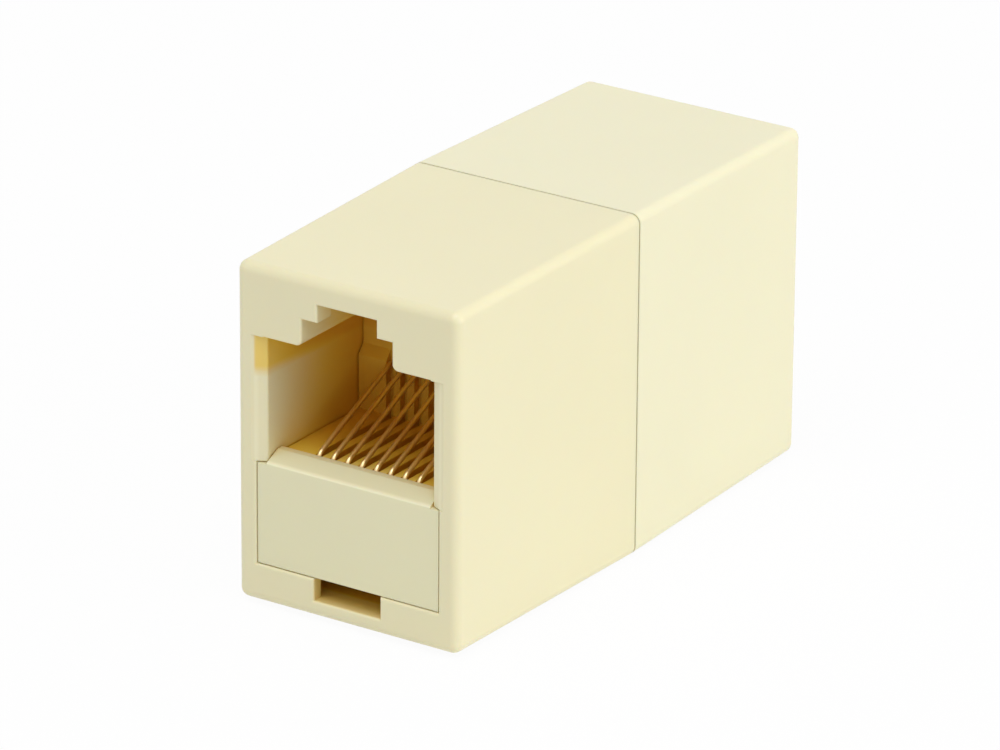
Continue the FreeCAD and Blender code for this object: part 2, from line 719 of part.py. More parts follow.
def solder_cone(sheet, across, face, level, outwards):
    """A small pyramid of solder round one tail, on one face of the board."""
    wire_radius = sheet.wire / 2
    top = face + outwards * sheet.solder_height
    foot = eight_sides(sheet.solder_radius, across, face, level)
    tip = eight_sides(wire_radius + SOLDER_RIM, across, top, level)
    bore_foot = eight_sides(wire_radius, across, face, level)
    bore_tip = eight_sides(wire_radius, across, top, level)
    return Part.makeLoft([foot, tip], True, True).cut(Part.makeLoft([bore_foot, bore_tip], True, True))


def make_solder(doc):
    """All the solder joints, as one group of separate solids."""
    sheet = doc.Sizes
    face = number(sheet, BOARD_FACE)
    joints = []
    for position in range(1, CONTACTS + 1):
        across = number(sheet, contact_across(position))
        level = number(sheet, contact_row(position))
        joints.append(solder_cone(sheet, across, face, level, 1))
        joints.append(solder_cone(sheet, -across, -face, level, -1))
    group = doc.addObject("Part::Feature", "solder_joints")
    group.Label = "solder_joints"
    group.Shape = Part.makeCompound(joints)
    return group


# ---------------------------------------------------------------- assembly

def half_turn():
    return FreeCAD.Rotation(FreeCAD.Vector(0, 0, 1), 180)


def make_contacts(doc, end, rotation):
    """The eight contacts of one socket. Contact 1 is on the left, seen from outside that socket."""
    contacts = []
    for position in range(1, CONTACTS + 1):
        contact = make_contact(doc, f"contact_{end}_{position}", contact_row(position))
        across = FreeCAD.Vector(number(contact, contact_across(position)), 0, 0)
        contact.Placement = FreeCAD.Placement(rotation.multVec(across), rotation)
        contacts.append(contact)
    return contacts


def make_model(doc):
    straight = FreeCAD.Rotation()
    turned = half_turn()
    front_housing = make_housing(doc, "front_housing", add_rebate)
    rear_housing = make_housing(doc, "rear_housing", add_spigot)
    front_insert = make_insert(doc, "front_insert")
    rear_insert = make_insert(doc, "rear_insert")
    for piece in (rear_housing, rear_insert):
        piece.Placement = FreeCAD.Placement(FreeCAD.Vector(0, 0, 0), turned)
    pieces = [front_housing, rear_housing, front_insert, rear_insert]
    pieces += make_contacts(doc, "front", straight)
    pieces += make_contacts(doc, "rear", turned)
    pieces += [make_board(doc), make_solder(doc)]
    return pieces


def check_model(doc, pieces):
    """Stop with a message if any object failed or any sub-part has no sound solid."""
    for item in doc.Objects:
        if "Invalid" in item.State or "Error" in item.State:
            raise RuntimeError(f"{item.Name} failed: {item.State}")
    for piece in pieces:
        if piece.Shape.isNull() or not piece.Shape.isValid():
            raise RuntimeError(f"{piece.Label} has no valid shape")


def write_parts(pieces):
    os.makedirs(NODE_FOLDER, exist_ok=True)
    for piece in pieces:
        piece.Shape.exportStep(os.path.join(NODE_FOLDER, f"{piece.Label}.step"))
        print(f"{piece.Label}: {len(piece.Shape.Solids)} solid, {piece.Shape.Volume:.3f} mm3")


def main():
    doc = FreeCAD.newDocument("InlineCoupler")
    make_sheet(doc)
    pieces = make_model(doc)
    doc.recompute()
    check_model(doc, pieces)
    write_parts(pieces)


main()
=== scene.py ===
"""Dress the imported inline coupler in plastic, gold, board and solder, in a plain studio."""

import math

import bmesh
import bpy
from mathutils import Matrix, Vector


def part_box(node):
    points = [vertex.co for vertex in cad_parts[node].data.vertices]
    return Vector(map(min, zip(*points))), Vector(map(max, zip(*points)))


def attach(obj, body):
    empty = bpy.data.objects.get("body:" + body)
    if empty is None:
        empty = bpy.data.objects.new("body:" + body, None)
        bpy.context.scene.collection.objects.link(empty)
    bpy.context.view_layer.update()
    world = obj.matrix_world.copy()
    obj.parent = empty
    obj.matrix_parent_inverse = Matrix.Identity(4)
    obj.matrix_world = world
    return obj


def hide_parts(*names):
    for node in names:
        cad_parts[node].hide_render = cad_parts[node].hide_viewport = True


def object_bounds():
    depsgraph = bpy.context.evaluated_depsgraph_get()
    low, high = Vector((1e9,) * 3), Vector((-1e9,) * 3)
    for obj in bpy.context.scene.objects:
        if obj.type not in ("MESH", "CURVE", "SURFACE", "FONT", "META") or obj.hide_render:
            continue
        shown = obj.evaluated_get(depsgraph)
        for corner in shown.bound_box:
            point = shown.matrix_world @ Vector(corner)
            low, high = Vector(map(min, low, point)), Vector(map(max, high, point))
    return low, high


bl_info = {
    "name": "Inline Coupler Finish",
    "version": (1, 0, 0),
    "blender": (4, 5, 0),
    "location": "View3D > Sidebar > Coupler",
    "description": "Finishes and studio for a drafted inline coupler with two modular sockets",
    "category": "Object",
}

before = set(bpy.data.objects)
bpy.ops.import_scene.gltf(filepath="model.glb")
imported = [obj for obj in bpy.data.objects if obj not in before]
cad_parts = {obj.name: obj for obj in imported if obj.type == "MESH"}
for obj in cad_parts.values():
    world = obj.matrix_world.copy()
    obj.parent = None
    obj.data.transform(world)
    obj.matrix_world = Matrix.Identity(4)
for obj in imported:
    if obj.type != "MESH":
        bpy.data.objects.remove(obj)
CAD_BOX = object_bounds()

MM = 0.001
WHITE = (1.0, 1.0, 1.0, 1.0)
ENDS = {"front": -1, "rear": 1}     # the side of the seam that each socket opens on
CONTACT_COUNT = 8


# ---------------------------------------------------------------- shader building

# Sockets of a Mix node that is set to colours, and of a Mix Shader node
MIX_SHARE, MIX_FIRST, MIX_SECOND, MIXED = 0, 6, 7, 2
BLEND_SHARE, BLEND_FIRST, BLEND_SECOND = 0, 1, 2


class Channel:
    """A number that comes out of a shader node, ready to be used in an expression."""

    def __init__(self, nodes, socket):
        self.nodes = nodes
        self.socket = socket

    def math(self, operation, *values):
        """The result of a Math node that is given these values, in this order."""
        return self.nodes.number("ShaderNodeMath", {"operation": operation}, dict(enumerate(values)))

    def __add__(self, other):
        return self.math("ADD", self, other)

    def __radd__(self, other):
        return self.math("ADD", other, self)

    def __sub__(self, other):
        return self.math("SUBTRACT", self, other)

    def __rsub__(self, other):
        return self.math("SUBTRACT", other, self)

    def __mul__(self, other):
        return self.math("MULTIPLY", self, other)

    def __rmul__(self, other):
        return self.math("MULTIPLY", other, self)

    def __truediv__(self, other):
        return self.math("DIVIDE", self, other)

    def __pow__(self, other):
        return self.math("POWER", self, other)

    def __abs__(self):
        return self.math("ABSOLUTE", self)

    def past_whole(self):
        """What is left of the number above the next lower whole one."""
        return self.math("FRACT", self)

    def clamped(self, low=0.0, high=1.0):
        """0 at the low value, 1 at the high one, and straight between them."""
        return self.nodes.number(
            "ShaderNodeMapRange", {"clamp": True},
            {"Value": self, "From Min": low, "From Max": high},
        )


class Nodes:
    """The node tree of a material or a world, built by one method for every kind of node."""

    def __init__(self, owner):
        self.owner = owner
        owner.use_nodes = True
        self.tree = owner.node_tree
        self.tree.nodes.clear()

    def node(self, kind, settings=None, sockets=None):
        """Add a node, make its settings, then fill its sockets with values or links."""
        node = self.tree.nodes.new(kind)
        for name, value in (settings or {}).items():
            if name == "stops":
                self.set_stops(node.color_ramp, value)
            else:
                setattr(node, name, value)
        for name, value in (sockets or {}).items():
            source = value.socket if isinstance(value, Channel) else value
            if isinstance(source, bpy.types.NodeSocket):
                self.tree.links.new(source, node.inputs[name])
            else:
                node.inputs[name].default_value = source
        return node

    def number(self, kind, settings=None, sockets=None, output=0):
        """Add a node and hand back one of its outputs as a number."""
        return Channel(self, self.node(kind, settings, sockets).outputs[output])

    @staticmethod
    def set_stops(ramp, stops):
        """Give a colour ramp its stops, each a place from 0 to 1 and a colour."""
        while len(ramp.elements) < len(stops):
            ramp.elements.new(1.0)
        for element, (position, rgba) in zip(ramp.elements, stops):
            element.position = position
            element.color = rgba

    def place(self):
        """The point being shaded, in the object's own frame."""
        return self.node("ShaderNodeTexCoord").outputs["Object"]

    def parts(self, vector):
        """The three numbers of a vector."""
        apart = self.node("ShaderNodeSeparateXYZ", None, {"Vector": vector})
        return [Channel(self, socket) for socket in apart.outputs]

    def noise(self, scale, detail, where=None):
        """Soft noise about half, with a scale in features per metre."""
        return self.number(
            "ShaderNodeTexNoise", {"noise_dimensions": "3D"},
            {"Vector": where or self.place(), "Scale": scale, "Detail": detail},
        )

    def openness(self, reach):
        """1 in the open and towards 0 where walls come near."""
        return self.number(
            "ShaderNodeAmbientOcclusion", {"samples": 8}, {"Distance": reach}, output="AO",
        )

    def seen_directly(self):
        """1 where the camera sees a surface itself or in something glossy or clear."""
        rays = self.node("ShaderNodeLightPath")
        camera, glossy, clear = (
            Channel(self, rays.outputs[name])
            for name in ("Is Camera Ray", "Is Glossy Ray", "Is Transmission Ray")
        )
        return (camera + glossy + clear).clamped()

    def ramp(self, share, stops):
        """A colour read from stops between 0 and 1."""
        return self.node("ShaderNodeValToRGB", {"stops": stops}, {"Fac": share}).outputs[0]

    def mix(self, share, first, second):
        """A colour between two others."""
        sockets = {MIX_SHARE: share, MIX_FIRST: first, MIX_SECOND: second}
        return self.node("ShaderNodeMix", {"data_type": "RGBA"}, sockets).outputs[MIXED]

    def blend(self, share, first, second):
        """A shader between two others."""
        sockets = {
            BLEND_SHARE: share, BLEND_FIRST: first.outputs[0], BLEND_SECOND: second.outputs[0],
        }
        return self.node("ShaderNodeMixShader", None, sockets)

    def bump(self, height, depth, strength, under=None):
        """A normal for relief of a given depth, on top of another normal if there is one."""
        sockets = {"Strength": strength, "Distance": depth, "Height": height}
        if under is not None:
            sockets["Normal"] = under
        return self.node("ShaderNodeBump", None, sockets).outputs[0]

    def close(self, kind, shader):
        """Lead a shader to the tree's output and hand back the material or world."""
        self.node(kind, None, {"Surface": shader.outputs[0]})
        return self.owner

    def finish(self, **sockets):
        """Close a material's tree with the plain shader and hand back the material."""
        named = {name.replace("_", " "): value for name, value in sockets.items()}
        shader = self.node("ShaderNodeBsdfPrincipled", None, named)
        return self.close("ShaderNodeOutputMaterial", shader)


def new_material(name):
    return Nodes(bpy.data.materials.new(name))


def opaque(rgb):
    return (*rgb, 1.0)


def tinted(rgb, factor):
    """A colour made lighter, up to white, or darker."""
    return opaque([min(channel * factor, 1.0) for channel in rgb])


def uneven(roughness, texture, spread):
    """A roughness that a texture varies by a spread about its middle."""
    return roughness - spread / 2 + texture * spread


# ---------------------------------------------------------------- sizes and colours

def colour(name, description, value):
    return bpy.props.FloatVectorProperty(
        name=name, description=description, default=value, size=3, subtype="COLOR",
        min=0.0, max=1.0,
    )


def direction(name, description, value):
    return bpy.props.FloatVectorProperty(
        name=name, description=description, default=value, size=3, subtype="DIRECTION",
    )


def length(name, description, value):
    return bpy.props.FloatProperty(
        name=name, description=description, default=value, min=0.0, unit="LENGTH", precision=5,
    )


def fraction(name, description, value):
    return bpy.props.FloatProperty(
        name=name, description=description, default=value, min=0.0, max=1.0, subtype="FACTOR",
    )


def angle(name, description, degrees):
    return bpy.props.FloatProperty(
        name=name, description=description, default=math.radians(degrees), unit="ROTATION",
    )


def strength(name, description, value):
    return bpy.props.FloatProperty(name=name, description=description, default=value, min=0.0)


def steps(name, description, value, low, high):
    return bpy.props.IntProperty(
        name=name, description=description, default=value, min=low, max=high,
    )


class PlasticSettings(bpy.types.PropertyGroup):
    """Colours and feel of the moulded plastics."""
    front_shell: colour("Front shell", "Ivory of the front housing", (0.835, 0.78, 0.515))
    rear_shell: colour("Rear shell", "Slightly paler ivory of the rear housing", (0.85, 0.81, 0.565))
    insert: colour("Insert", "Slightly greyer ivory of the contact inserts", (0.815, 0.78, 0.52))
    # Painted shade: warm, then amber, then brown stand in for the shade inside a socket, not for a
    # colour the plastic has
    shade_warm: colour("Warm", "What the plastics turn to a little way inside a cavity", (0.84, 0.68, 0.32))
    shade_amber: colour("Amber", "What they turn to further inside", (0.86, 0.60, 0.07))
    shade_brown: colour("Brown", "What they turn to where hardly any light comes", (0.78, 0.42, 0.03))
    roughness: fraction("Roughness", "Satin finish of the plastics", 0.38)
    grain: length("Grain", "Size of the mould's fine texture", 0.12 * MM)
    grain_depth: length("Grain depth", "Depth of the mould's fine texture", 0.004 * MM)
    edge_softness: length("Edge softness", "How far sharp moulded edges look rounded", 0.07 * MM)
    # Painted shade: how near walls must be, and how far inside, for the painted shade to deepen
    cavity_reach: length("Cavity reach", "How near walls have to be to deepen the colour", 9.0 * MM)
    cavity_depth: length("Cavity depth", "How far inside the colour is deepest", 9.5 * MM)
    latch_half: length("Latch half", "Half the width of the latch step over the tunnel", 3.2 * MM)
    latch_height: length(
        "Latch height", "From the tunnel's ceiling to the top of the latch stop", 2.79 * MM)
    # Painted shade band on a socket's left wall, under its ceiling
    shade_band: length(
        "Band", "Height of the deeper band on a socket's left wall, under its ceiling", 2.65 * MM)
    channel: length("Channel", "Height of the channel under an insert", 1.33 * MM)
    tray: length("Tray", "From an insert's underside to just above its contact tray", 8.25 * MM)
    lip: length("Lip", "From an end face to the back of the insert's lip", 1.75 * MM)
    lip_front: length(
        "Lip front", "From an insert's underside to the front edge of its lip", 7.93 * MM)
    rim: length("Rim", "Radius of the small rounding round a mouth", 0.15 * MM)
    # Painted highlight colour on thin rounded edges
    edge_highlight: colour(
        "Pale edge", "Thin rounded edges, which let more light through", (0.96, 0.92, 0.66))
    seam_dust: colour("Seam dust", "Faint dust along the joint of the two halves", (0.70, 0.66, 0.44))
    seam_width: length("Seam width", "How far the dust reaches either side of the joint", 0.22 * MM)
    glow: fraction("Glow", "How much light passes a little way through the plastic", 0.15)
    glow_reach: length("Glow reach", "How far light passes through the plastic", 0.8 * MM)


class WireSettings(bpy.types.PropertyGroup):
    """Shape and colour of the spring contacts."""
    thickness: length("Thickness", "Diameter of the drawn wire", 0.32 * MM)
    arm_run: length("Arm run", "How far the spring arm reaches along the socket", 7.6 * MM)
    rise: angle("Rise", "Slope of the spring arm", 23.5)
    bend: length("Bend", "Radius of the wire's bends at its centre line", 0.7 * MM)
    sides: steps("Sides", "Sides of the round section", 14, 8, 32)
    bend_steps: steps("Bend steps", "Steps round a bend", 7, 3, 24)
    gold: colour("Gold", "Colour of the gold plating", (0.92, 0.74, 0.42))
    # Darker gold for wear between the lines and for painted shade where wires crowd
    worn_and_shaded_gold: colour("Worn gold", "Darker gold between the polished lines", (0.74, 0.52, 0.22))
    roughness: fraction("Roughness", "Finish of the plating", 0.36)


class BoardSettings(bpy.types.PropertyGroup):
    """Colours of the circuit board and its solder."""
    mask: colour("Mask", "Green solder mask", (0.03, 0.20, 0.08))
    mask_roughness: fraction("Mask roughness", "Finish of the solder mask", 0.47)
    laminate: colour(
        "Laminate", "Bare glass-epoxy laminate at the cut edges", (0.55, 0.50, 0.25))
    copper: colour("Copper", "Tinned copper ring round a hole", (0.68, 0.66, 0.62))
    ring: length("Ring", "Radius of the copper ring round a hole", 0.40 * MM)
    pitch: length("Pitch", "Distance between neighbouring holes", 1.016 * MM)
    solder: colour("Solder", "Bright solder", (0.78, 0.78, 0.79))
    solder_roughness: fraction("Solder roughness", "Finish of the solder", 0.32)


class StageSettings(bpy.types.PropertyGroup):
    """Camera, lamps and floor."""
    azimuth: angle("Azimuth", "Camera's turn from straight ahead of the front socket", 33.37)
    elevation: angle("Elevation", "Camera's height above the floor, as an angle", 22.28)
    roll: angle("Roll", "Camera's turn about its own axis", 0.43)
    distance: length("Distance", "From the camera to the coupler", 447.2 * MM)
    target_height: length("Target height", "Height of the point that the camera is set by", 10.77 * MM)
    aim_left: length("Aim left", "How far left of that point the camera aims", 1.46 * MM)
    aim_down: length("Aim down", "How far below that point the camera aims", 0.80 * MM)
    lens: bpy.props.FloatProperty(
        name="Lens", description="Focal length in millimetres", default=266.8, min=1.0)
    floor: colour("Floor", "Pale floor", (0.90, 0.90, 0.90))
    floor_glow: fraction("Floor glow", "How much of the floor shows as plain white", 0.95)
    room: strength("Room", "Light from all round", 0.51)
    side_power: strength("Side power", "Power of the softbox at the right, in watts", 1.70)
    side_direction: direction("Side direction", "Where that softbox stands", (0.95, 0.22, 0.15))
    top_power: strength("Top power", "Power of the softbox over the front socket, in watts", 1.72)
    top_direction: direction("Top direction", "Where that softbox stands", (0.10, -0.32, 0.94))
    lamp_distance: length("Lamp distance", "From each softbox to the coupler", 0.60)
    lamp_size: length("Lamp size", "Side of each softbox", 0.45)


class CouplerSettings(bpy.types.PropertyGroup):
    """Everything that the sidebar lets a user change."""
    plastic: bpy.props.PointerProperty(type=PlasticSettings)
    wire: bpy.props.PointerProperty(type=WireSettings)
    board: bpy.props.PointerProperty(type=BoardSettings)
    stage: bpy.props.PointerProperty(type=StageSettings)


def settings():
    return bpy.context.scene.coupler


# ---------------------------------------------------------------- moulded plastic

# How far round an insert the painted shade and highlight masks reach, and the runs over which masks
# fade
MASK_MARGIN = 0.25 * MM
MASK_FADE = 0.10 * MM
# The painted shade fades in from an end face over these runs
MOUTH_FADE = 0.80 * MM          # the colour deepens from an end face inwards
FACE_FADE = 0.15 * MM           # the bands start at an end face
CHANNEL_FADE = 0.05 * MM
BAND_FADE = 0.70 * MM
LATCH_FADE = 0.20 * MM
LIP_FADE = 0.30 * MM
LEFT_FADE = 0.10 * MM * MM      # of the places across and along multiplied together

# How much painted shade each cause puts on the plastics inside a socket
DEPTH_SHADE = 0.60
WALL_SHADE = 0.75
OPEN_SHADE = 0.25               # what depth and walls have to pass before they count
CHANNEL_RELIEF = 0.60           # how much less they count in the channel
BAND_SHADE = 0.50
CHANNEL_SHADE = 0.28
TRAY_SHADE = 0.35
SHADED = 0.30                   # the shade at which the plastic's own colour is gone

# Painted highlights on the small roundings: depths inside an end face between which a mouth's rim
# starts, and an insert's front ends
RIM_START = (0.01 * MM, 0.05 * MM)
FRONT_END = (0.25 * MM, 0.40 * MM)
RIM_END = 1.5                   # where the rim is gone, in rounding radii from the end face
# Painted highlight on the lip's edge: strongest at EDGE_CORE, gone at EDGE_END
EDGE_CORE, EDGE_END = 0.3, 0.8  # where the lip's edge is palest and where it is gone, in radii
RIM_HIGHLIGHT = 0.40                 # how strongly the rim shows
LIP_HIGHLIGHT = 0.80                 # how strongly the lip's edge shows

FLOW_RANGE = (0.35, 0.65)       # the part of the flow noise that shows
FLOW_SHARE, CLOUD_SHARE = 0.60, 0.40
FLOW_PALER = 1.025
DUST_START = 0.20               # of the seam dust's width
DUST_LEAST, DUST_FLOW = 0.10, 0.35
PLASTIC_IOR = 1.53
GLOW_COLOUR = (1.0, 0.62, 0.22)


def moulded_normal(surface, plastic):
    """Softened edges with the fine texture of an eroded mould on them."""
    soft = surface.node("ShaderNodeBevel", {"samples": 6}, {"Radius": plastic.edge_softness})
    grain = surface.noise(scale=1.0 / plastic.grain, detail=3.0)
    return surface.bump(grain, plastic.grain_depth, strength=1.0, under=soft.outputs[0])


def socket_place(surface):
    """The shaded point's places across, along and up, and its depth inside the nearer end face."""
    across, along, up = surface.parts(surface.place())
    return across, along, up, CAD_BOX[1].y - abs(along)


def over_insert(across, up):
    """1 within an insert's outline, as it is seen from its end, and 0 round it."""
    low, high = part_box("front_insert")
    inside = (high.x + MASK_MARGIN - abs(across)).clamped(0.0, MASK_FADE)
    inside = inside * (high.z + MASK_MARGIN - up).clamped(0.0, MASK_FADE)
    return inside * (up - low.z + MASK_MARGIN).clamped(0.0, MASK_FADE)


def cavity_shade(surface, plastic):
    """How much painted shade a point gets: 0 on the outside and at the end faces, rising to 1 deep
    inside a socket.
    """
    low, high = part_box("front_insert")
    across, along, up, inwards = socket_place(surface)

    # Painted shade from depth and from nearby walls (ambient occlusion), less in the channel
    depth = inwards.clamped(0.0, plastic.cavity_depth)
    walls = 1.0 - surface.openness(plastic.cavity_reach)
    channel = (low.z + plastic.channel - up).clamped(0.0, CHANNEL_FADE)
    general = (depth * DEPTH_SHADE + walls * WALL_SHADE - OPEN_SHADE).clamped()
    general = general * inwards.clamped(0.0, MOUTH_FADE) * (1.0 - channel * CHANNEL_RELIEF)

    # Painted shade band under the ceiling, on the left wall of each socket only
    band_bottom = high.z - plastic.latch_height - plastic.shade_band
    beside_latch = (abs(across) - plastic.latch_half).clamped(0.0, LATCH_FADE)
    left_of_socket = (across * along).clamped(0.0, LEFT_FADE)
    shade_band = (up - band_bottom).clamped(0.0, BAND_FADE) * beside_latch * left_of_socket
    bands = (shade_band * BAND_SHADE + channel * CHANNEL_SHADE) * inwards.clamped(0.0, FACE_FADE)

    # Painted shade on the contact tray behind the lip
    behind_lip = (inwards - plastic.lip).clamped(0.0, LIP_FADE)
    tray = (low.z + plastic.tray - up).clamped(0.0, MASK_FADE) * behind_lip
    return (general + bands + tray * TRAY_SHADE).clamped() * over_insert(across, up)


def mouth_rim_highlight(surface, plastic):
    """How strongly a highlight is painted on the small rounding round a housing's mouth and its notch.
    """
    across, _, up, inwards = socket_place(surface)
    past_rim = inwards.clamped(plastic.rim, RIM_END * plastic.rim)
    on_rim = inwards.clamped(*RIM_START) * (1.0 - past_rim)
    return on_rim * over_insert(across, up) * RIM_HIGHLIGHT


def lip_edge_highlight(surface, plastic):
    """How strongly a highlight is painted on the small rounding along the front edge of an insert's
    lip.
    """
    low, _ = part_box("front_insert")
    _, _, up, inwards = socket_place(surface)
    to_edge = abs(up - low.z - plastic.lip_front)
    on_edge = 1.0 - to_edge.clamped(EDGE_CORE * plastic.rim, EDGE_END * plastic.rim)
    return (1.0 - inwards.clamped(*FRONT_END)) * on_edge * LIP_HIGHLIGHT


def moulded_plastic(name, plastic, body, highlight):
    """Satin plastic: faint flow tones, painted shade in the cavities, painted highlights on small
    edges and a little glow.
    """
    surface = new_material(name)
    flow = surface.noise(scale=70.0, detail=3.0).clamped(*FLOW_RANGE)
    clouds = surface.noise(scale=420.0, detail=4.0)
    shades = flow * FLOW_SHARE + clouds * CLOUD_SHARE
    face = surface.mix(shades, opaque(body), tinted(body, FLOW_PALER))

    _, along, _, _ = socket_place(surface)
    from_seam = abs(along).clamped(DUST_START * plastic.seam_width, plastic.seam_width)
    dust = (1.0 - from_seam) * (DUST_LEAST + flow * DUST_FLOW)
    face = surface.mix(dust, face, opaque(plastic.seam_dust))
    # Painted highlight on the small roundings
    face = surface.mix(highlight(surface, plastic), face, opaque(plastic.edge_highlight))

    shade = cavity_shade(surface, plastic)
    # Painted shade: the cavity's shade turns the colour warm, amber, then brown
    shaded_colour = surface.ramp(shade, [
        (0.25, opaque(plastic.shade_warm)),
        (0.60, opaque(plastic.shade_amber)),
        (1.00, opaque(plastic.shade_brown)),
    ])
    return surface.finish(
        Base_Color=surface.mix(shade.clamped(0.0, SHADED), face, shaded_colour),
        Roughness=uneven(plastic.roughness, clouds, spread=0.10),
        Normal=moulded_normal(surface, plastic),
        IOR=PLASTIC_IOR,
        Subsurface_Weight=plastic.glow,
        Subsurface_Radius=GLOW_COLOUR,
        Subsurface_Scale=plastic.glow_reach,
    )


# ---------------------------------------------------------------- metal and board

# The plating's drawn lines: close together across the wire and long along it
LINE_STRETCH = (9.0, 0.6, 0.6)
LINE_RANGE = (0.3, 0.7)         # the part of the line noise that shows
LINE_DEPTH = 0.004 * MM
# Wear along the drawn lines, and painted shade on the gold where wires and walls crowd
LINE_WEAR, CROWD_SHADE = 0.25, 0.35
CROWD_REACH = 3.0 * MM          # how near wires and walls have to be to dull the gold

RELIEF_DEPTH = 0.01 * MM        # of the board's weave and the solder's frost
WEAVE_SHOWN = 0.5               # how much of the weave shows through the mask
RING_FADE = 0.05                # of the copper ring's radius
FACE_TILT = (0.6, 0.8)          # a normal's share along the coupler, from cut edge to flat face
COPPER_SMOOTHER = 0.12          # how much less rough the copper is than the mask


def plated_wire(name, wire):
    """Gold plating over drawn wire, with fine lines along it and painted shade where wires and walls
    are near.
    """
    surface = new_material(name)
    stretched = surface.node(
        "ShaderNodeMapping", {"vector_type": "POINT"},
        {"Vector": surface.place(), "Scale": LINE_STRETCH},
    )
    lines = surface.noise(scale=1500.0, detail=3.0, where=stretched.outputs[0])
    lines = lines.clamped(*LINE_RANGE)
    # Painted shade where wires and walls come near
    crowded = 1.0 - surface.openness(CROWD_REACH)
    wear_and_shade = (lines * LINE_WEAR + crowded * CROWD_SHADE).clamped()
    return surface.finish(
        Base_Color=surface.mix(wear_and_shade, opaque(wire.gold), opaque(wire.worn_and_shaded_gold)),
        Metallic=1.0,
        Roughness=uneven(wire.roughness, lines, spread=0.12),
        Normal=surface.bump(lines, LINE_DEPTH, strength=0.35),
    )


def masked_board(name, board, hole_levels):
    """Green solder mask with a tinned ring round every hole and bare laminate at the cut edges."""
    surface = new_material(name)
    across, _, up = surface.parts(surface.place())
    sideways = ((across / board.pitch).past_whole() - 0.5) * board.pitch
    rings = 0.0
    for level in hole_levels:
        rise = up - level
        distance = (sideways * sideways + rise * rise) ** 0.5
        fade = distance.clamped(board.ring * (1.0 - RING_FADE), board.ring * (1.0 + RING_FADE))
        rings = rings + 1.0 - fade
    _, facing, _ = surface.parts(surface.node("ShaderNodeNewGeometry").outputs["Normal"])
    on_face = abs(facing).clamped(*FACE_TILT)
    weave = surface.noise(scale=2600.0, detail=3.0)
    mask = surface.mix(weave * WEAVE_SHOWN, opaque(board.mask), tinted(board.mask, factor=1.5))
    laminate = surface.mix(weave, opaque(board.laminate), tinted(board.laminate, factor=0.8))
    copper = (rings * on_face).clamped()
    plain = surface.mix(on_face, laminate, mask)
    return surface.finish(
        Base_Color=surface.mix(copper, plain, opaque(board.copper)),
        Metallic=copper,
        Roughness=uneven(board.mask_roughness, weave, spread=0.10) - copper * COPPER_SMOOTHER,
        Normal=surface.bump(weave, RELIEF_DEPTH, strength=0.4),
    )


def bright_solder(name, board):
    """Solder with a faintly frosted skin."""
    surface = new_material(name)
    frost = surface.noise(scale=5200.0, detail=3.0)
    return surface.finish(
        Base_Color=surface.mix(frost, opaque(board.solder), tinted(board.solder, factor=0.8)),
        Metallic=1.0,
        Roughness=uneven(board.solder_roughness, frost, spread=0.16),
        Normal=surface.bump(frost, RELIEF_DEPTH, strength=0.3),
    )


def dress(names, material):
    """Give CAD nodes a material in place of the plain one."""
    for name in names:
        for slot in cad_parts[name].material_slots:
            slot.material = material


# ---------------------------------------------------------------- spring contacts

CHAMFER = 0.3       # of the wire's radius, at each cut end


def bend_points(corner, before, after, radius, count):
    """Points round a bend whose runs go from before to the corner and on to after."""
    back = (before - corner).normalized()
    on = (after - corner).normalized()
    half = back.angle(on) / 2
    setback = radius / math.tan(half)
    centre = corner + (back + on).normalized() * (radius / math.sin(half))
    first = corner + back * setback - centre
    turn = math.pi - 2 * half
    axis = first.cross(corner + on * setback - centre).normalized()
    return [
        centre + Matrix.Rotation(turn * step / count, 3, axis) @ first
        for step in range(count + 1)
    ]


def contact_line(node, side, wire):
    """A contact's centre line from its tip to the end of its tail, fitted to its CAD node's box."""
    low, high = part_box(node)
    half = wire.thickness / 2
    across = (low.x + high.x) / 2
    leg = low.y + half if side < 0 else high.y - half
    tail_end = high.y if side < 0 else low.y
    row = low.z + half
    tip = Vector((across, leg - side * wire.arm_run, high.z - half * math.cos(wire.rise)))
    root = Vector((across, leg, tip.z - wire.arm_run * math.tan(wire.rise)))
    foot = Vector((across, leg, row))
    end = Vector((across, tail_end, row))
    upper = bend_points(root, tip, foot, wire.bend, wire.bend_steps)
    lower = bend_points(foot, root, end, wire.bend, wire.bend_steps)
    return [tip, *upper, *lower, end]


def wire_stations(line, radius):
    """Where the wire's rings of points go: each a centre, a direction and a radius."""
    chamfer = radius * CHAMFER
    along = [(b - a).normalized() for a, b in zip(line, line[1:])]
    bends = [
        (point, (before + after).normalized(), radius)
        for point, before, after in zip(line[1:-1], along, along[1:])
    ]
    return [
        (line[0], along[0], radius - chamfer),
        (line[0] + along[0] * chamfer, along[0], radius),
        *bends,
        (line[-1] - along[-1] * chamfer, along[-1], radius),
        (line[-1], along[-1], radius - chamfer),
    ]


def add_wire_mesh(name, line, wire):
    """A round wire swept along its line, with a small chamfer at each cut end."""
    mesh = bmesh.new()
    rings = []
    sideways = Vector((1.0, 0.0, 0.0))
    turns = [2 * math.pi * step / wire.sides for step in range(wire.sides)]
    for point, forwards, reach in wire_stations(line, wire.thickness / 2):
        upward = forwards.cross(sideways)
        rings.append([
            mesh.verts.new(point + (sideways * math.cos(turn) + upward * math.sin(turn)) * reach)
            for turn in turns
        ])
    for ring, following in zip(rings, rings[1:]):
        for step in range(wire.sides):
            other = (step + 1) % wire.sides
            corners = (ring[step], ring[other], following[other], following[step])
            mesh.faces.new(corners).smooth = True
    mesh.faces.new(rings[0][::-1])
    mesh.faces.new(rings[-1])
    bmesh.ops.recalc_face_normals(mesh, faces=mesh.faces[:])
    return add_mesh(name, mesh)


